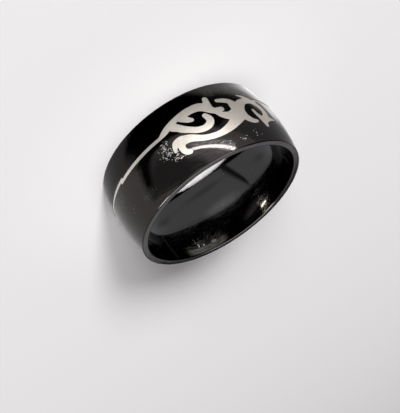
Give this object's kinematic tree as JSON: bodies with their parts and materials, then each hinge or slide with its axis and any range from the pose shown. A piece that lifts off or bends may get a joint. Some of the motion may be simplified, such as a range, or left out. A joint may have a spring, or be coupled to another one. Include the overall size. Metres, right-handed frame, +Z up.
{
  "type": "steel ring",
  "caption": "Domed steel finger ring, plated black, with a bare steel scroll ornament and a thin bare line set just below its surface.",
  "frame": {"origin": "centre of the bottom rim, on the surface that the ring lies on", "axes": "+Z up along the bore axis; the root of the scroll's tail faces -Y, and the scroll runs from there towards -X"},
  "size_m": [0.0216, 0.0216, 0.009],
  "materials": {
    "black_plating": "glossy black plating on polished steel, with fine scratches",
    "bare_steel": "satin, slightly warm",
    "line_steel": "satin, slightly warm"
  },
  "bodies": {
    "root": {"band": "black_plating", "scroll_inlay": "bare_steel", "line_inlay": "line_steel"}
  },
  "joints": []
}
